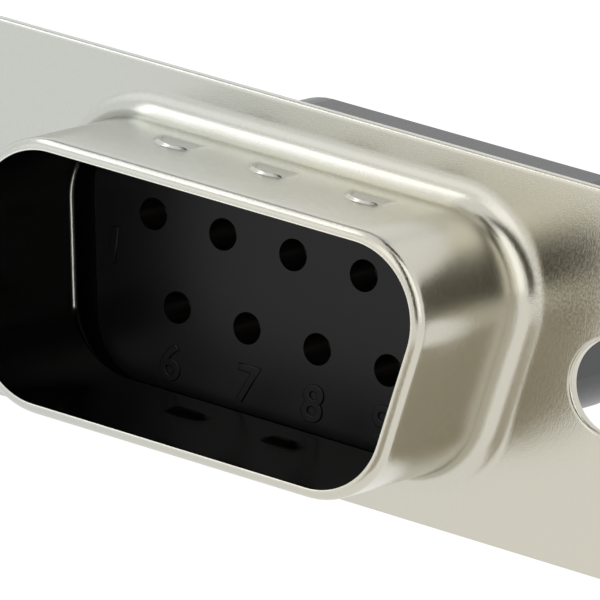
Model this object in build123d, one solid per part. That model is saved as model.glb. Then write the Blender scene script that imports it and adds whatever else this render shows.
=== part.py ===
from build123d import *

import os
from math import cos, radians, sin, sqrt

os.makedirs("parts", exist_ok=True)

# Nine-way D-shaped plug housing for crimp contacts, empty, as bought.
# X runs along the contact rows, Y from the mating side to the cable side, Z towards the long side of the D.
# The origin is the middle of the D on the front face of the metal flange. All sizes are in millimetres.

# Contact cavities
contacts_above = 5
contacts_below = 4
pin_hole_radius = 0.54
cavity_radius = 1.05
cavity_mouth = 0.2  # chamfer round the cable end of a cavity
cavity_wall = 0.33  # between two clip chambers of one row
row_wall = 0.4  # between the chambers of the two rows, straight up

# Retention clips, one in each cavity
clip_flats = 10  # round the sleeve, and round the chamber that keeps it from turning
clip_sheet = 0.12
clip_clearance = 0.02  # from a cavity's wall out to the inside of a clip's flats
clip_play = 0.03  # round a clip and at its two ends
clip_length = 2.5
clip_slit = 0.3
tine_width = 0.5
tine_reach = 0.74  # from a cavity's axis to the tip of a tine
tine_length = 1.7
tine_root = 0.3  # whole band of the sleeve behind the tines

# Metal shell
sheet = 0.38  # thickness of the plated steel
shroud_side_room = 1.66  # from the outer chambers to the shroud's inside, at the widest
shroud_top_room = 1.51  # from the chambers to the shroud's inside, up and down
shroud_corner = 2.47  # inside
shroud_reach = 6.16  # from the flange's front face to the rim
side_lean = 10.4  # degrees that each short side leans in
bend_radius = 1.0  # where the shroud turns out into the flange, on the mating side
flange_lip = 0.73  # flat of the flange above and below the bend
flange_corner = 2.2
fixing_radius = 1.6
fixing_gap = 1.095  # flat of the flange from the bend to a fixing hole
fixing_margin = 1.31  # from a fixing hole to the end of the flange
edge_break = 0.12  # flange and fixing holes, on the mating side
rim_break = 0.26  # outside of the rim

# Grip dents pressed into the long and the short wall of the shroud
dents_above = 3
dents_below = 2
dent_pitch = 3.72
dent_setback = 3.45  # from the rim to the middle of a dent
dent_width = 1.6
dent_length = 1.7
dent_depth = 0.28
dent_floor_width = 0.8
dent_floor_length = 0.16

# Insulators
insulator_drop = 0.1  # the insulators sit this far down in the shell's play
face_proud = 0.1  # the mating face stands this far before the flange's front face
face_break = 0.1
face_side_gap = 0.32  # from the shroud's inside to the mating face, at the short sides
face_gap = 0.08  # from the bend to the mating face, at the long sides
face_corner = 2.2
seat_margin = 0.35  # the seat reaches this far past the bend, on to the flat of the flange
seat_thickness = 1.0
seat_corner = 1.5
collar_inset = 0.6  # the rear insulator's collar is this much smaller than the seat, all round
collar_thickness = 0.8
body_side_wall = 1.24  # outside the chambers, at the widest
body_top_wall = 1.34  # above and below the chambers
body_corner = 2.5
body_length = 8.82  # from the seat to the cable end
body_break = 0.2

# Worked out from the sizes above
clip_inside = cavity_radius + clip_clearance
clip_outside = clip_inside + clip_sheet
chamber_inside = clip_outside + clip_play
chamber_depth = clip_length + 2 * clip_play
contact_pitch = 2 * chamber_inside + cavity_wall
row_spacing = 2 * chamber_inside + row_wall
field_width = (contacts_above - 1) * contact_pitch + 2 * chamber_inside
field_height = row_spacing + 2 * chamber_inside
shroud_width = field_width + 2 * shroud_side_room
shroud_height = field_height + 2 * shroud_top_room
flare_radius = bend_radius + sheet
bend_width = shroud_width + 2 * flare_radius
bend_height = shroud_height + 2 * flare_radius
fixing_spacing = bend_width + 2 * (fixing_gap + fixing_radius)
flange_length = fixing_spacing + 2 * (fixing_radius + fixing_margin)
flange_height = bend_height + 2 * flange_lip
seat_back = sheet + seat_thickness  # here the two insulators meet
body_back = seat_back + body_length
hair = 0.001  # for finding a face by its place


def prism(face, front, back):
    """Carry a face drawn across X and Z from one depth to another."""
    return extrude(Plane.XZ.offset(-back) * face, back - front)


def d_face(width, height, corner):
    """The D outline: long side up, short sides leaning in, four equal corners; width is at the widest."""
    lean = radians(side_lean)
    across = width / 2 - corner
    up = height / 2 - corner
    reach = across * cos(lean) - up * sin(lean) + corner
    top = (reach + height / 2 * sin(lean)) / cos(lean)
    foot = (reach - height / 2 * sin(lean)) / cos(lean)
    points = [(-top, height / 2), (top, height / 2), (foot, -height / 2), (-foot, -height / 2)]
    face = make_face(Polyline(*points, close=True))
    return fillet(face.vertices(), corner)


def grown_d(growth):
    """The shroud's inside outline, grown by the same amount all round."""
    return d_face(shroud_width + 2 * growth, shroud_height + 2 * growth, shroud_corner + growth)


def rounded_plate(length, height, corner, front, back):
    return prism(fillet(Rectangle(length, height).vertices(), corner), front, back)


def flat_face(solid, depth):
    """The largest flat face that lies across Y at one depth."""
    found = solid.faces().filter_by(Plane.XZ).filter_by_position(Axis.Y, depth - hair, depth + hair)
    return found.sort_by(SortBy.AREA)[-1]


def row(count, pitch):
    """Places along X of a row of like things, centred."""
    return [(i - (count - 1) / 2) * pitch for i in range(count)]


def contact_places():
    """Across and up of every contact, in number order as seen from the mating side."""
    above = [(x, row_spacing / 2) for x in row(contacts_above, contact_pitch)]
    below = [(x, -row_spacing / 2) for x in row(contacts_below, contact_pitch)]
    return above + below


def at_contacts(face):
    return Sketch() + [Pos(x, z) * face for x, z in contact_places()]


def flare_at(depth):
    """How far the back of the bend has turned out from the shroud's inside at one depth."""
    return flare_radius - sqrt(flare_radius**2 - (depth + bend_radius) ** 2)


def dent():
    """A hip-shaped dent, pressed down from a wall at Z = 0."""
    side = (dent_width - dent_floor_width) / 2
    end = (dent_length - dent_floor_length) / 2
    far_side = dent_width - side
    far_end = dent_length - end
    stance = (Align.CENTER, Align.MIN, Align.CENTER)
    hip = Wedge(dent_width, dent_depth, dent_length, side, end, far_side, far_end, align=stance)
    return Rot(X=-90) * hip


def add_dents(shell):
    """Press each dent in from outside, which leaves the same shape standing on the inside."""
    wall = shroud_height / 2 + sheet
    depth = dent_setback - shroud_reach
    above = [Pos(x, depth, wall) for x in row(dents_above, dent_pitch)]
    below = [Pos(x, depth, -wall) * Rot(X=180) for x in row(dents_below, dent_pitch)]
    for place in above + below:
        shell = shell + place * Pos(0, 0, -sheet) * dent()
        shell = shell - place * dent()
    return shell


def make_shell():
    """One drawn sheet: the flange, the bend and the D-shaped shroud."""
    flange = rounded_plate(flange_length, flange_height, flange_corner, 0, sheet)
    shell = flange + prism(grown_d(sheet), -shroud_reach, sheet)
    front_corner = flat_face(shell, 0).inner_wires()[0]
    shell = fillet(front_corner.edges(), bend_radius)
    shell = shell - prism(grown_d(0), -shroud_reach, sheet)
    back_corner = flat_face(shell, sheet).inner_wires()[0]
    shell = fillet(back_corner.edges(), flare_radius)
    rim = flat_face(shell, -shroud_reach).outer_wire()
    shell = chamfer(rim.edges(), rim_break)

    for x in row(2, fixing_spacing):
        shell = shell - prism(Pos(x, 0) * Circle(fixing_radius), 0, sheet)
    front = flat_face(shell, 0)
    fixing_edges = front.edges().filter_by(lambda edge: edge.is_closed)
    shell = chamfer(front.outer_wire().edges() + fixing_edges, edge_break)
    return add_dents(shell)


def make_front_insulator():
    """The mating face, which stands in the bend, and the seat behind the metal flange."""
    seat_length = bend_width + 2 * seat_margin
    seat_height = bend_height + 2 * seat_margin
    face_width = shroud_width - 2 * face_side_gap
    face_height = shroud_height + 2 * (flare_at(-face_proud) - face_gap - insulator_drop)
    boss = prism(d_face(face_width, face_height, face_corner), -face_proud, sheet)
    boss = chamfer(flat_face(boss, -face_proud).edges(), face_break)
    body = boss + rounded_plate(seat_length, seat_height, seat_corner, sheet, seat_back)
    body = body - prism(at_contacts(Circle(pin_hole_radius)), -face_proud, seat_back)
    return Pos(0, 0, -insulator_drop) * body


def make_rear_insulator():
    """The D-shaped body on the cable side, with a stepped cavity for each contact."""
    collar_width = bend_width + 2 * (seat_margin - collar_inset)
    collar_height = bend_height + 2 * (seat_margin - collar_inset)
    body_width = field_width + 2 * body_side_wall
    body_height = field_height + 2 * body_top_wall
    block = prism(d_face(body_width, body_height, body_corner), seat_back, body_back)
    block = chamfer(flat_face(block, body_back).edges(), body_break)
    collar = d_face(collar_width, collar_height, body_corner)
    block = block + prism(collar, seat_back, seat_back + collar_thickness)
    block = block - prism(at_contacts(Circle(cavity_radius)), seat_back, body_back)
    mouths = flat_face(block, body_back).edges().filter_by(lambda edge: edge.is_closed)
    block = chamfer(mouths, cavity_mouth)
    block = block - prism(at_contacts(clip_outline(chamber_inside)), seat_back, seat_back + chamber_depth)
    return Pos(0, 0, -insulator_drop) * block


def clip_outline(across_flats):
    """A regular outline with one flat facing each way along X."""
    turn = 180 / clip_flats
    return Rot(Z=turn) * RegularPolygon(across_flats, clip_flats, major_radius=False)


def make_clip(x, z):
    """A folded spring sleeve with a slit, and two tines that lean in to catch a contact's shoulder."""
    front = seat_back + clip_play
    back = front + clip_length
    root = back - tine_root
    tip = root - tine_length
    sleeve = prism(clip_outline(clip_outside) - clip_outline(clip_inside), front, back)
    slit = Pos(0, clip_outside) * Rectangle(clip_slit, 3 * clip_sheet)
    sleeve = sleeve - prism(slit, front, back)
    sleeve = sleeve - prism(Rectangle(2 * clip_outside, tine_width), tip, root)
    strip = Polyline((clip_inside, back), (clip_outside, back), (clip_outside, root),
                     (tine_reach + clip_sheet, tip), (tine_reach, tip), (clip_inside, root), close=True)
    tine = extrude(make_face(strip), tine_width / 2, both=True)
    clip = sleeve + tine + mirror(tine, Plane.YZ)
    return Pos(x, 0, z - insulator_drop) * clip


def main():
    parts = {
        "front_shell": make_shell(),
        "front_insulator": make_front_insulator(),
        "rear_insulator": make_rear_insulator(),
    }
    for number, (x, z) in enumerate(contact_places(), 1):
        parts[f"contact_clip_{number}"] = make_clip(x, z)
    for name, part in parts.items():
        export_step(part, f"parts/{name}.step")


main()
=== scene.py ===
from math import cos, exp, hypot, log, pi, radians, sin

import bmesh
import bpy
from mathutils import Matrix, Vector


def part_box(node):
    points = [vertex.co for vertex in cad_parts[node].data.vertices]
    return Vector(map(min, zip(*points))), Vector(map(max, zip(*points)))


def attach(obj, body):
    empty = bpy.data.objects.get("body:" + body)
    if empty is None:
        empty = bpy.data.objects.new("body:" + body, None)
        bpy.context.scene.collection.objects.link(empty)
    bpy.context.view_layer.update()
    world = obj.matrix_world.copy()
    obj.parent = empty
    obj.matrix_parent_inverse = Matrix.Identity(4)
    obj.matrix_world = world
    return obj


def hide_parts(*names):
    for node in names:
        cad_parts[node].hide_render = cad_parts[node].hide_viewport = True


# Dresses the empty D-shaped plug housing: plated steel, black mouldings, bronze clips, moulded contact numbers.
# X runs along the contact rows, Y from the mating side to the cable side, Z towards the long side of the D.
# A place's depth is its Y. The origin is the middle of the D on the front face of the metal flange.

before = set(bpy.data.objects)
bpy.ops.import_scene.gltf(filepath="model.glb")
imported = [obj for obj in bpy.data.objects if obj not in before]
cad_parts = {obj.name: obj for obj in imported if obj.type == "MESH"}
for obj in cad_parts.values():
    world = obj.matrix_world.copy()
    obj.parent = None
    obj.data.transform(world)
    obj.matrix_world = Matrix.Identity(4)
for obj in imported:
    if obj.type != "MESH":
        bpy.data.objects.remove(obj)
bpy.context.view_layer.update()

MM = 0.001
BODY = "root"

# Where the photograph was taken from
AZIMUTH = radians(31.775)
ELEVATION = radians(14.707)
ROLL = radians(7.542)
DISTANCE = 331.76 * MM
AIM = Vector((0.427, 0, -0.11)) * MM
FOCAL_LENGTH_PX = 10221.6
PICTURE_WIDTH_PX = 600
SENSOR_WIDTH = 36.0

# The drawn shell, in millimetres, as its solid has it but for the bend and the rounded edges
SHEET = 0.38
SHROUD_WIDTH = 16.84
SHROUD_HEIGHT = 8.3
SHROUD_CORNER = 2.47
SHROUD_REACH = 6.16
SIDE_LEAN = radians(10.4)
BEND_RADIUS = 0.9
RIM_ROUND = 0.35
RIM_INNER_ROUND = 0.03
FLANGE_LENGTH = 30.81
FLANGE_HEIGHT = 12.52
FLANGE_CORNER = 2.2
FIXING_SPACING = 24.99
FIXING_RADIUS = 1.6
EDGE_ROUND = 0.13
BURR_ROUND = 0.03
SUPPORT = 0.04  # narrow ring beside each flat, which keeps it flat under smooth shading
INSIDE_LIMIT = 0.3 * SHEET  # a place nearer to the shroud's inside than this is on the inside face
SHORT_WALL = 0.95  # least share of the way out that points along X on a short wall

# How finely the shell is divided
WALL_STEPS = 40
CORNER_STEPS = 26
FLANGE_CORNER_STEPS = 20
HOLE_STEPS = 72
BEND_STEPS = 18
FLARE_STEPS = 48
BEHIND_DENTS_STEPS = 6
BEFORE_DENTS_STEPS = 10
RIM_STEPS = 10
RIM_INNER_STEPS = 3
EDGE_STEPS = 6
BURR_STEPS = 3

# Grip dents: outside a half-moon hollow whose bowed near lip stands up, inside a soft bulge
DENTS_ABOVE = 3
DENTS_BELOW = 2
DENT_PITCH = 3.72
DENT_MIDDLE = 0.15  # along X, from the dent's place
DENT_HALF_WIDTH = 0.82
DENT_END_FALL = 0.45  # slope at the two ends
DENT_FAR_LIP = -1.88  # depth of the straight lip next to the flange
DENT_SAG = 0.2  # slope of the wall that falls away from it
DENT_NEAR_LIP = ((-0.7, -2.3), (1.0, -2.7))  # across and depth at its two ends
DENT_BOW = 0.5  # how far the near lip bows towards the rim between them
DENT_NEAR_FALL = 1.5  # slope behind the near lip
DENT_PRESS = 0.2  # the deepest that a hollow gets
DENT_SOFT = 0.012  # rounds the lips and valleys
DENT_CREST_HEIGHT = 0.11
DENT_CREST_HALF_WIDTH = 0.12
DENT_ZONE = (-3.4, -1.7)  # depths between which the walls are pressed
DENT_CELL = 0.034  # size of the mesh there
DENT_REACH = 1.05  # to each side of a dent's place
DENT_BULGE = (0.8, 0.6, 0.2)  # half width, half length and height inside
DENT_BULGE_AT = -2.4  # depth of its middle

# Fine bead inside each short wall, where the bend begins
BEAD_HEIGHT = 0.1
BEAD_HALF_WIDTH = 0.13
BEAD_DEPTH_AT = -0.72

# Contact numbers moulded on the mating face: centre across and up
NUMBER_PLACES = {
    "1": (-6.9, -0.15),
    "2": (-2.77, 3.1),
    "3": (0.0, 3.1),
    "4": (2.77, 3.1),
    "5": (6.9, -0.15),
    "6": (-4.13, -3.45),
    "7": (-1.11, -3.4),
    "8": (1.49, -3.4),
    "9": (4.2, -3.4),
}
NUMBER_HEIGHT = 1.2 * MM
NUMBER_RELIEF = 0.05 * MM
NUMBER_FONT_SIZE = NUMBER_HEIGHT / 0.7  # a digit is 0.7 of the font's size high
NUMBER_WIDENING = 0.01 * NUMBER_HEIGHT

# Colours: of the plating, the cool, the warm and the streaked tone; of the rest, the darkest and the lightest
BRIGHT_STEEL = ((0.53, 0.545, 0.51), (0.595, 0.57, 0.48), (0.62, 0.61, 0.56))
# a darker copy of the plating for the shroud's inside: painted shade in the recess
SHADED_INSIDE_STEEL = ((0.10, 0.10, 0.095), (0.14, 0.135, 0.12), (0.16, 0.16, 0.15))
FACE_BLACK = ((0.0016, 0.0018, 0.0021), (0.003, 0.0032, 0.0036))
BODY_BLACK = ((0.008, 0.010, 0.011), (0.013, 0.015, 0.017))
BRONZE = ((0.26, 0.17, 0.10), (0.38, 0.26, 0.15))
DARK_CLOTH = ((0.05, 0.045, 0.03), (0.15, 0.13, 0.09))
# colours of the pale sheet low in front: painted shade standing in for the floor in shadow
FLOOR_SHADE_TONES = ((0.70, 0.64, 0.54), (0.80, 0.74, 0.63))
COOL_CLOTH = ((0.66, 0.70, 0.74), (0.74, 0.78, 0.82))
# the colour of the painted dark reflection on the flange
DARK_REFLECTION_TONE = (0.22, 0.205, 0.16)
WHITE = (1, 1, 1)
PALE_FLOOR = (0.74, 0.74, 0.74)

# Painted dark reflection, mottled, on the flange's front beside the shroud's right corner
DARK_REFLECTION_AT = (10.7, 0, 3.0)
DARK_REFLECTION_RADIUS = 2.4
DARK_REFLECTION_SHARE = 0.4

# Soft boxes: azimuth and elevation in degrees, width and height in metres, radiance
LIGHT_DISTANCE = 1.2
LIGHTS = {
    "left_box": (-36, 20, 0.8, 0.5, 0.26),
    "front_box": (-3, 32, 0.5, 0.8, 0.5),
    "right_box": (75, 35, 0.6, 1.4, 0.6),
    "upper_left_box": (-80, 52, 1.0, 0.28, 1.4),
}
WORLD_LIGHT = 0.7  # of the white that is seen

# Cloths that only the metal mirrors, in metres
CLOTH_DISTANCE = 0.9
FLOOR_SHADE_DISTANCE = 0.045
CLOTH_STEPS = 8

# The floor, in metres
FLOOR_HALF_WIDTH = 1.5
FLOOR_DROP = 0.03
FLOOR_GLOW = 0.43

# Places of the colours on Blender's Mix node
MIX_FACTOR, MIX_LOW, MIX_HIGH, MIX_RESULT = 0, 6, 7, 2


class Socket:
    """An output of a shader node. Arithmetic on it adds Math nodes."""

    def __init__(self, nodes, output):
        self.nodes = nodes
        self.output = output

    def math(self, operation, first, second):
        return self.nodes.node("Math", {"operation": operation}, {0: first, 1: second})

    def __add__(self, other):
        return self.math("ADD", self, other)

    def __radd__(self, other):
        return self.math("ADD", other, self)

    def __sub__(self, other):
        return self.math("SUBTRACT", self, other)

    def __rsub__(self, other):
        return self.math("SUBTRACT", other, self)

    def __mul__(self, other):
        return self.math("MULTIPLY", self, other)

    def __rmul__(self, other):
        return self.math("MULTIPLY", other, self)

    def or_more(self, other):
        return self.math("MAXIMUM", self, other)


class Nodes:
    """A node tree that is being put together."""

    def __init__(self, tree):
        self.tree = tree
        self.tree.nodes.clear()

    def node(self, kind, settings=None, sockets=None, output=0):
        """Adds a node, sets it up, links its inputs and returns one of its outputs."""
        made = self.tree.nodes.new("ShaderNode" + kind)
        for name, value in (settings or {}).items():
            setattr(made, name, value)
        for name, value in (sockets or {}).items():
            if isinstance(value, Socket):
                self.tree.links.new(value.output, made.inputs[name])
            else:
                made.inputs[name].default_value = value
        return Socket(self, made.outputs[output]) if made.outputs else None

    def seen(self):
        """1 for what the camera sees straight, mirrored or through something, 0 for light."""
        camera = self.node("LightPath", output="Is Camera Ray")
        glossy = self.node("LightPath", output="Is Glossy Ray")
        through = self.node("LightPath", output="Is Transmission Ray")
        return camera.or_more(glossy).or_more(through)


class Finish(Nodes):
    """A material and its node tree."""

    def __init__(self, name):
        self.material = bpy.data.materials.new(name)
        self.material.use_nodes = True
        super().__init__(self.material.node_tree)

    def place(self, stretch=(1, 1, 1)):
        """The point on the surface, in millimetres, squeezed along each axis."""
        at = self.node("TexCoord", output="Object")
        scale = [s / MM for s in stretch]
        return self.node("Mapping", {"vector_type": "POINT"}, {"Vector": at, "Scale": scale})

    def along(self, axis):
        """How far along X, Y or Z the point lies, in millimetres."""
        return self.node("SeparateXYZ", None, {"Vector": self.place()}, output=axis)

    def noise(self, size, stretch=(1, 1, 1), detail=2.0):
        """Noise whose blobs are about size millimetres across."""
        sockets = {"Vector": self.place(stretch), "Scale": 1 / size, "Detail": detail}
        return self.node("TexNoise", {"noise_dimensions": "3D"}, sockets)

    def between(self, amount, low, high):
        """Mixes two colours by a value from 0 to 1."""
        settings = {"data_type": "RGBA", "blend_type": "MIX"}
        sockets = {MIX_FACTOR: amount, MIX_LOW: low, MIX_HIGH: high}
        return self.node("Mix", settings, sockets, output=MIX_RESULT)

    def smooth(self, value, low, high):
        """0 below low, 1 above high, eased between."""
        settings = {"interpolation_type": "SMOOTHSTEP"}
        return self.node("MapRange", settings, {"Value": value, "From Min": low, "From Max": high})

    def spot(self, middle, radius):
        """1 in the middle of a round spot, easing to 0 at its radius."""
        sockets = {0: self.place(), 1: middle}
        away = self.node("VectorMath", {"operation": "DISTANCE"}, sockets, output="Value")
        return 1 - self.smooth(away, 0.25 * radius, radius)

    def bump(self, height, distance, strength=1.0):
        """A bumpy normal; the distance is in millimetres."""
        return self.node("Bump", None, {"Strength": strength, "Distance": distance * MM, "Height": height})

    def surface(self, shader):
        self.node("OutputMaterial", None, {"Surface": shader})
        return self.material


def colour(red, green, blue):
    return (red, green, blue, 1.0)


def colours(tones):
    return [colour(*tone) for tone in tones]


def plated_steel(name, tones):
    """Tin-plated drawn steel: satin, warmer to the right, with a fine grain drawn up and down, and a mottled
    painted dark reflection on the flange's front beside the shroud's right corner.
    """
    cool, warm, streaked = colours(tones)
    finish = Finish(name)
    grain = finish.noise(0.06, stretch=(1, 1, 0.3), detail=3.0)
    speckle = finish.noise(0.045)
    mottle = finish.noise(0.1, detail=5.0)
    clouds = finish.noise(3.2)
    waves = finish.noise(4.5, detail=1.0)

    warmth = finish.smooth(finish.along("X") + 6.0 * clouds, -6.0, 14.0)
    streak = finish.smooth(grain, 0.3, 0.7)
    base = finish.between(warmth, cool, warm)
    base = finish.between(streak * 0.35, base, streaked)

    depth = finish.along("Y")
    on_front = finish.smooth(depth, -0.3, -0.02) * (1 - finish.smooth(depth, 0.0, 0.15))
    # painted dark reflection: a mottled darker spot mixed into the plating's colour beside the shroud's right
    # corner
    painted_reflection = finish.spot(DARK_REFLECTION_AT, DARK_REFLECTION_RADIUS) * finish.smooth(mottle, 0.38, 0.62) * on_front
    base = finish.between(painted_reflection * DARK_REFLECTION_SHARE, base, colour(*DARK_REFLECTION_TONE))

    rough = 0.17 + 0.06 * streak
    bump = finish.bump(0.05 * grain + 0.07 * speckle + waves, 0.05)
    sockets = {"Base Color": base, "Metallic": 1.0, "Roughness": rough, "Normal": bump}
    return finish.surface(finish.node("BsdfPrincipled", None, sockets))


def black_thermoplastic(name, tones, matt, level):
    """Glass-filled black moulding with a fine spark-eroded skin."""
    low, high = colours(tones)
    finish = Finish(name)
    skin = finish.noise(0.06, detail=3.0)
    base = finish.between(finish.smooth(finish.noise(2.5), 0.3, 0.7), low, high)
    bump = finish.bump(skin, 0.004, 0.5)
    sockets = {"Base Color": base, "Roughness": matt + 0.12 * skin, "Normal": bump, "Specular IOR Level": level}
    return finish.surface(finish.node("BsdfPrincipled", None, sockets))


def spring_bronze():
    """Rolled phosphor bronze strip."""
    low, high = colours(BRONZE)
    finish = Finish("spring_bronze")
    rolled = finish.noise(0.08, stretch=(1, 0.1, 1), detail=3.0)
    base = finish.between(finish.smooth(rolled, 0.3, 0.7), low, high)
    bump = finish.bump(rolled, 0.003, 0.5)
    sockets = {"Base Color": base, "Metallic": 1.0, "Roughness": 0.26 + 0.1 * rolled, "Normal": bump}
    return finish.surface(finish.node("BsdfPrincipled", None, sockets))


def dress_nodes(face_plastic, body_plastic, bronze):
    """Gives the mouldings and the clips their finish."""
    finishes = {"front_insulator": face_plastic, "rear_insulator": body_plastic}
    for name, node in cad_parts.items():
        if name == "front_shell":
            continue
        node.data.materials.clear()
        node.data.materials.append(finishes.get(name, bronze))


def steps(first, last, count):
    """Evenly spaced values from first to last, both kept."""
    return [first + (last - first) * i / count for i in range(count + 1)]


def arc(centre, radius, first, last, count):
    """Points round a centre, by degrees."""
    turns = [radians(a) for a in steps(first, last, count)]
    return [(centre[0] + radius * cos(a), centre[1] + radius * sin(a)) for a in turns]


def dent_places(count):
    return [(i - (count - 1) / 2) * DENT_PITCH for i in range(count)]


def wall_stations(half, dents):
    """Places along a straight wall, close together where a dent is pressed."""
    places = set(steps(-half, half, WALL_STEPS))
    close = round(2 * DENT_REACH / DENT_CELL)
    for dent in dents:
        places = {p for p in places if abs(p - dent) > DENT_REACH}
        places.update(steps(dent - DENT_REACH, dent + DENT_REACH, close))
    return sorted(places)


def corner_points(centre, first, last, radius, count):
    """Points of a loop round one corner: place, way out, and no dents."""
    made = []
    for angle in steps(first, last, count):
        nx, nz = cos(radians(angle)), sin(radians(angle))
        made.append((centre[0] + radius * nx, centre[1] + radius * nz, nx, nz, ()))
    return made


def tidy_loop(loop):
    """Drops a point that lies on the one before it."""
    kept = []
    for i, point in enumerate(loop):
        before = loop[i - 1]
        if hypot(point[0] - before[0], point[1] - before[1]) > 1e-4:
            kept.append(point)
    return kept


def shroud_outline():
    """Round the shroud's inside from the upper left: place, way out of the wall, and the dents of that wall."""
    across = SHROUD_WIDTH / 2 - SHROUD_CORNER
    up = SHROUD_HEIGHT / 2 - SHROUD_CORNER
    foot = across - 2 * up * sin(SIDE_LEAN) / cos(SIDE_LEAN)
    lean = SIDE_LEAN * 180 / pi
    above, below = dent_places(DENTS_ABOVE), dent_places(DENTS_BELOW)
    right_corners = (((across, up), 90, -lean), ((foot, -up), -lean, -90))
    left_corners = (((-foot, -up), -90, -180 + lean), ((-across, up), -180 + lean, -270))

    loop = [(x, SHROUD_HEIGHT / 2, 0, 1, above) for x in wall_stations(across, above)]
    for centre, first, last in right_corners:
        loop += corner_points(centre, first, last, SHROUD_CORNER, CORNER_STEPS)
    loop += [(x, -SHROUD_HEIGHT / 2, 0, -1, below) for x in reversed(wall_stations(foot, below))]
    for centre, first, last in left_corners:
        loop += corner_points(centre, first, last, SHROUD_CORNER, CORNER_STEPS)
    return tidy_loop(loop)


def plate_outline():
    """Round the flange from the upper left."""
    across = FLANGE_LENGTH / 2 - FLANGE_CORNER
    up = FLANGE_HEIGHT / 2 - FLANGE_CORNER
    loop = []
    for centre, first in (((-across, up), 180), ((across, up), 90), ((across, -up), 0), ((-across, -up), -90)):
        loop += corner_points(centre, first, first - 90, FLANGE_CORNER, FLANGE_CORNER_STEPS)
    return tidy_loop(loop)


def hole_outline(x):
    """Round a fixing hole."""
    return tidy_loop(corner_points((x, 0), 360, 0, FIXING_RADIUS, HOLE_STEPS))


def softly_least(values, width):
    """The least of some values, rounded over where two come close."""
    return -width * log(sum(exp(-value / width) for value in values))


def hollowed(across, y):
    """How deep the outside of a dent lies at one place; less than nothing on the crest along its near lip."""
    along = (across - DENT_MIDDLE) / DENT_HALF_WIDTH
    (left, left_depth), (right, right_depth) = DENT_NEAR_LIP
    slant = (right_depth - left_depth) / (right - left)
    near_lip = left_depth + (across - left) * slant - DENT_BOW * max(0.0, 1 - along * along)
    tilt = hypot(1, slant + 2 * DENT_BOW * along / DENT_HALF_WIDTH)
    behind = (y - near_lip) / tilt
    end = (DENT_HALF_WIDTH - abs(across - DENT_MIDDLE)) * DENT_END_FALL
    falls = (DENT_PRESS, (DENT_FAR_LIP - y) * DENT_SAG, behind * DENT_NEAR_FALL, end)
    hollow = -softly_least((-softly_least(falls, DENT_SOFT), 0.0), DENT_SOFT)
    away = behind / DENT_CREST_HALF_WIDTH
    crest = DENT_CREST_HEIGHT * max(0.0, 1 - along**6) * max(0.0, 1 - away * away) ** 1.2
    return hollow - crest


def bulged(across, y):
    """How far the inside of a dent stands in."""
    half_width, half_length, height = DENT_BULGE
    away = ((across - DENT_MIDDLE) / half_width) ** 4 + ((y - DENT_BULGE_AT) / half_length) ** 2
    return height * max(0.0, 1 - away) ** 1.5


def pressed(x, y, dents, inside):
    """How far the wall is pressed in at one place."""
    if not DENT_ZONE[0] < y < DENT_ZONE[1]:
        return 0.0
    shape = bulged if inside else hollowed
    return sum(shape(x - dent, y) for dent in dents if abs(x - dent) < DENT_REACH)


def in_shroud(out, depth):
    """Whether a place of the profile is on the shroud's inside, which takes the darker copy of the plating as
    painted shade.
    """
    return out < INSIDE_LIMIT and RIM_INNER_ROUND - SHROUD_REACH < depth < 0


def bead(out, depth, nx):
    """How far the inside of a short wall stands in at one depth."""
    if out > INSIDE_LIMIT or abs(nx) < SHORT_WALL:
        return 0.0
    away = (depth - BEAD_DEPTH_AT) / BEAD_HALF_WIDTH
    return BEAD_HEIGHT * max(0.0, 1 - away * away)


def sweep(mesh, loop, profile):
    """Carries a profile of (outwards, depth) round a closed loop. Returns the edges of its two open ends."""
    rings = []
    foremost = min(depth for out, depth in profile)
    inside = False
    for out, depth in profile:
        inside = inside or depth == foremost
        ring = []
        for x, z, nx, nz, dents in loop:
            lift = out - pressed(x, depth, dents, inside) - (bead(out, depth, nx) if inside else 0)
            ring.append(mesh.verts.new(((x + lift * nx) * MM, depth * MM, (z + lift * nz) * MM)))
        rings.append(ring)

    count = len(loop)
    for one, two, (out, depth) in zip(rings, rings[1:], profile[1:]):
        for i in range(count):
            j = (i + 1) % count
            face = mesh.faces.new((one[i], one[j], two[j], two[i]))
            # painted shade: the shroud's inside, but for the bead, takes the darker copy of the plating
            if in_shroud(out, depth) and not bead(out, depth, loop[i][2]):
                face.material_index = 1

    ends = []
    for ring in (rings[0], rings[-1]):
        ends.append([mesh.edges.get((ring[i], ring[(i + 1) % count])) for i in range(count)])
    return ends


def shroud_profile():
    """From the flange's front down the bend, along the wall, round the rim and back along the inside."""
    bend_centre = (SHEET + BEND_RADIUS, -BEND_RADIUS)
    near, far = DENT_ZONE
    close = round((far - near) / DENT_CELL)
    rim = -SHROUD_REACH
    rim_outside = rim + RIM_ROUND
    rim_inside = rim + RIM_INNER_ROUND
    points = [(bend_centre[0] + SUPPORT, 0)]
    points += arc(bend_centre, BEND_RADIUS, 90, 180, BEND_STEPS)
    points += [(SHEET, y) for y in steps(-BEND_RADIUS, far, BEHIND_DENTS_STEPS)[1:-1]]
    points += [(SHEET, y) for y in steps(far, near, close)]
    points += [(SHEET, y) for y in steps(near, rim_outside, BEFORE_DENTS_STEPS)[1:-1]]
    points += arc((SHEET - RIM_ROUND, rim_outside), RIM_ROUND, 0, -90, RIM_STEPS)
    points += arc((RIM_INNER_ROUND, rim_inside), RIM_INNER_ROUND, -90, -180, RIM_INNER_STEPS)
    points += [(0, y) for y in steps(rim_inside, near, BEFORE_DENTS_STEPS)[1:-1]]
    points += [(0, y) for y in steps(near, far, close // 2)]
    points += [(0, y) for y in steps(far, -BEND_RADIUS, BEHIND_DENTS_STEPS)[1:-1]]
    points += arc(bend_centre, BEND_RADIUS + SHEET, 180, 90, FLARE_STEPS)
    points.append((bend_centre[0] + SUPPORT, SHEET))
    return points


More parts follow.
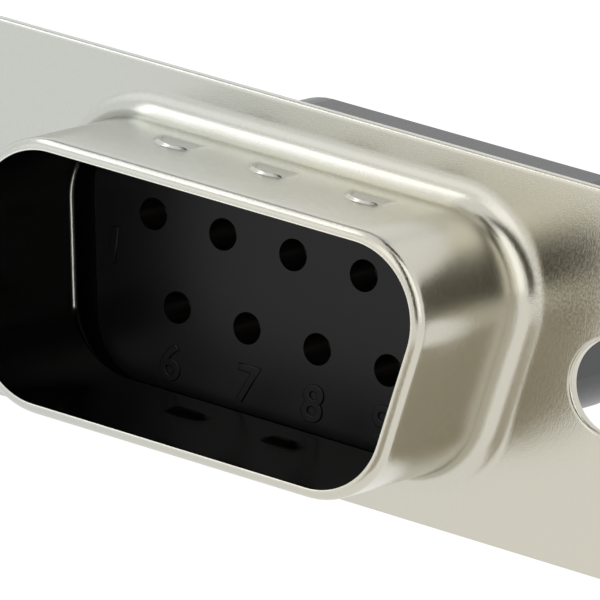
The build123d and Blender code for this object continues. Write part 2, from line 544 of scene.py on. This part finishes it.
def edge_profile():
    """Over the edge of the sheet, from its front to its back, as seen from outside the metal."""
    points = [(-EDGE_ROUND - SUPPORT, 0)]
    points += arc((-EDGE_ROUND, EDGE_ROUND), EDGE_ROUND, -90, 0, EDGE_STEPS)
    points += arc((-BURR_ROUND, SHEET - BURR_ROUND), BURR_ROUND, 0, 90, BURR_STEPS)
    points.append((-EDGE_ROUND - SUPPORT, SHEET))
    return points


def make_shell(steel, painted_shade_steel):
    """The drawn shell: flange, bend, and shroud with its dents and its rounded rim."""
    mesh = bmesh.new()
    ends = [sweep(mesh, shroud_outline(), shroud_profile()), sweep(mesh, plate_outline(), edge_profile())]
    for x in (-FIXING_SPACING / 2, FIXING_SPACING / 2):
        inwards = [(-out, depth) for out, depth in edge_profile()]
        ends.append(sweep(mesh, hole_outline(x), inwards))
    for side in (0, 1):
        edges = [edge for end in ends for edge in end[side]]
        bmesh.ops.triangle_fill(mesh, use_beauty=True, edges=edges)
    bmesh.ops.recalc_face_normals(mesh, faces=mesh.faces)
    for face in mesh.faces:
        face.smooth = True

    data = bpy.data.meshes.new("drawn_shell")
    mesh.to_mesh(data)
    mesh.free()
    data.materials.append(steel)
    data.materials.append(painted_shade_steel)
    shell = bpy.data.objects.new("drawn_shell", data)
    bpy.context.collection.objects.link(shell)
    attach(shell, BODY)
    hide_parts("front_shell")


def add_numbers(plastic):
    """The contact numbers that stand up from the mating face."""
    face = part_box("front_insulator")[0].y
    for number, (across, up) in NUMBER_PLACES.items():
        text = bpy.data.curves.new(f"contact_number_{number}", "FONT")
        text.body = number
        text.align_x = "CENTER"
        text.align_y = "CENTER"
        text.size = NUMBER_FONT_SIZE
        text.extrude = 0.3 * NUMBER_RELIEF
        text.bevel_depth = 0.7 * NUMBER_RELIEF
        text.bevel_resolution = 2
        text.offset = NUMBER_WIDENING
        made = bpy.data.objects.new(text.name, text)
        made.location = (across * MM, face, up * MM)
        made.rotation_euler = (pi / 2, 0, 0)
        bpy.context.collection.objects.link(made)
        made.data.materials.append(plastic)
        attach(made, BODY)


def way(azimuth, elevation):
    """The direction seen from the part: azimuth 0 is straight out of the mating side, + towards its right."""
    a, e = radians(azimuth), radians(elevation)
    return Vector((sin(a) * cos(e), -cos(a) * cos(e), sin(e)))


def make_camera():
    """The photograph's camera, which leans a little to one side."""
    back = Vector((sin(AZIMUTH) * cos(ELEVATION), -cos(AZIMUTH) * cos(ELEVATION), sin(ELEVATION)))
    level_right = Vector((0, 0, 1)).cross(back).normalized()
    level_up = back.cross(level_right)
    right = level_right * cos(ROLL) + level_up * sin(ROLL)
    up = level_up * cos(ROLL) - level_right * sin(ROLL)
    turn = Matrix((right, up, back)).transposed().to_4x4()
    camera = bpy.data.cameras.new("camera")
    camera.sensor_width = SENSOR_WIDTH
    camera.lens = FOCAL_LENGTH_PX / PICTURE_WIDTH_PX * SENSOR_WIDTH
    camera.clip_start = 0.01
    camera.clip_end = 10
    made = bpy.data.objects.new("camera", camera)
    made.matrix_world = Matrix.Translation(AIM + back * DISTANCE) @ turn
    bpy.context.collection.objects.link(made)
    bpy.context.scene.camera = made


def make_world():
    """White all round for the camera and for what the metal mirrors; softer as light."""
    world = bpy.data.worlds.new("studio")
    world.use_nodes = True
    bpy.context.scene.world = world
    studio = Nodes(world.node_tree)
    strength = WORLD_LIGHT + (1 - WORLD_LIGHT) * studio.seen()
    background = studio.node("Background", None, {"Color": colour(*WHITE), "Strength": strength})
    studio.node("OutputWorld", None, {"Surface": background})


def make_lights():
    """Soft boxes that face the part."""
    for name, (azimuth, elevation, width, height, radiance) in LIGHTS.items():
        lamp = bpy.data.lights.new(name, "AREA")
        lamp.shape = "RECTANGLE"
        lamp.size = width
        lamp.size_y = height
        lamp.energy = radiance * pi * width * height
        made = bpy.data.objects.new(name, lamp)
        made.location = way(azimuth, elevation) * LIGHT_DISTANCE
        made.rotation_mode = "QUATERNION"
        made.rotation_quaternion = (-made.location).to_track_quat("-Z", "Y")
        made.visible_camera = False
        bpy.context.collection.objects.link(made)


def cloth(name, tones):
    """A matt, faintly uneven cloth."""
    low, high = colours(tones)
    finish = Finish(name)
    base = finish.between(finish.noise(40.0), low, high)
    return finish.surface(finish.node("BsdfDiffuse", None, {"Color": base}))


def make_card(name, azimuths, elevations, distance, finish):
    """A cloth between two azimuths and two elevations, which only the metal mirrors."""
    mesh = bmesh.new()
    rows = []
    for elevation in steps(*elevations, CLOTH_STEPS):
        places = [way(azimuth, elevation) * distance for azimuth in steps(*azimuths, CLOTH_STEPS)]
        rows.append([mesh.verts.new(place) for place in places])
    for one, two in zip(rows, rows[1:]):
        for i in range(CLOTH_STEPS):
            mesh.faces.new((one[i], one[i + 1], two[i + 1], two[i]))
    data = bpy.data.meshes.new(name)
    mesh.to_mesh(data)
    mesh.free()
    data.materials.append(finish)
    card = bpy.data.objects.new(name, data)
    bpy.context.collection.objects.link(card)
    card.visible_camera = False
    card.visible_diffuse = False
    card.visible_shadow = False


def make_cards():
    """The dark studio round and above the camera and high behind the part, a pale cool cloth high behind on the
    left, and a pale sheet low in front that stands in for the floor in shadow: painted shade.
    """
    dark = cloth("dark_cloth", DARK_CLOTH)
    warm = cloth("floor_shade_sheet", FLOOR_SHADE_TONES)
    cool = cloth("cool_cloth", COOL_CLOTH)
    make_card("camera_side_cloth", (19, 48), (-6, 80), CLOTH_DISTANCE, dark)
    make_card("high_back_cloth", (100, 200), (58, 88), CLOTH_DISTANCE, dark)
    # painted shade: a pale sheet low in front stands in for the floor in shadow where the metal mirrors it
    make_card("painted_floor_shade", (6, 46), (-40, -15), FLOOR_SHADE_DISTANCE, warm)
    make_card("left_back_cloth", (-172, -118), (36, 62), CLOTH_DISTANCE, cool)


def make_floor():
    """A pale floor, well below the part, which its fixing holes hold."""
    finish = Finish("pale_floor")
    lit = finish.node("BsdfDiffuse", None, {"Color": colour(*PALE_FLOOR)})
    glow = finish.node("Emission", None, {"Color": colour(*WHITE), "Strength": finish.seen() * FLOOR_GLOW})
    material = finish.surface(finish.node("AddShader", None, {0: lit, 1: glow}))
    mesh = bpy.data.meshes.new("floor")
    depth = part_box("front_shell")[0].z - FLOOR_DROP
    corners = [(x * FLOOR_HALF_WIDTH, y * FLOOR_HALF_WIDTH, depth) for x, y in ((-1, -1), (1, -1), (1, 1), (-1, 1))]
    mesh.from_pydata(corners, [], [(0, 1, 2, 3)])
    mesh.materials.append(material)
    floor = bpy.data.objects.new("floor", mesh)
    bpy.context.collection.objects.link(floor)


def main():
    face_plastic = black_thermoplastic("black_face", FACE_BLACK, matt=0.27, level=0.31)
    body_plastic = black_thermoplastic("black_body", BODY_BLACK, matt=0.22, level=0.34)
    dress_nodes(face_plastic, body_plastic, spring_bronze())
    # a darker copy of the plating: painted shade for the shroud's inside
    painted_shade_steel = plated_steel("painted_shade_steel", SHADED_INSIDE_STEEL)
    make_shell(plated_steel("plated_steel", BRIGHT_STEEL), painted_shade_steel)
    add_numbers(face_plastic)
    make_camera()
    make_world()
    make_lights()
    make_cards()
    make_floor()
    bpy.context.scene.view_settings.view_transform = "Standard"


main()
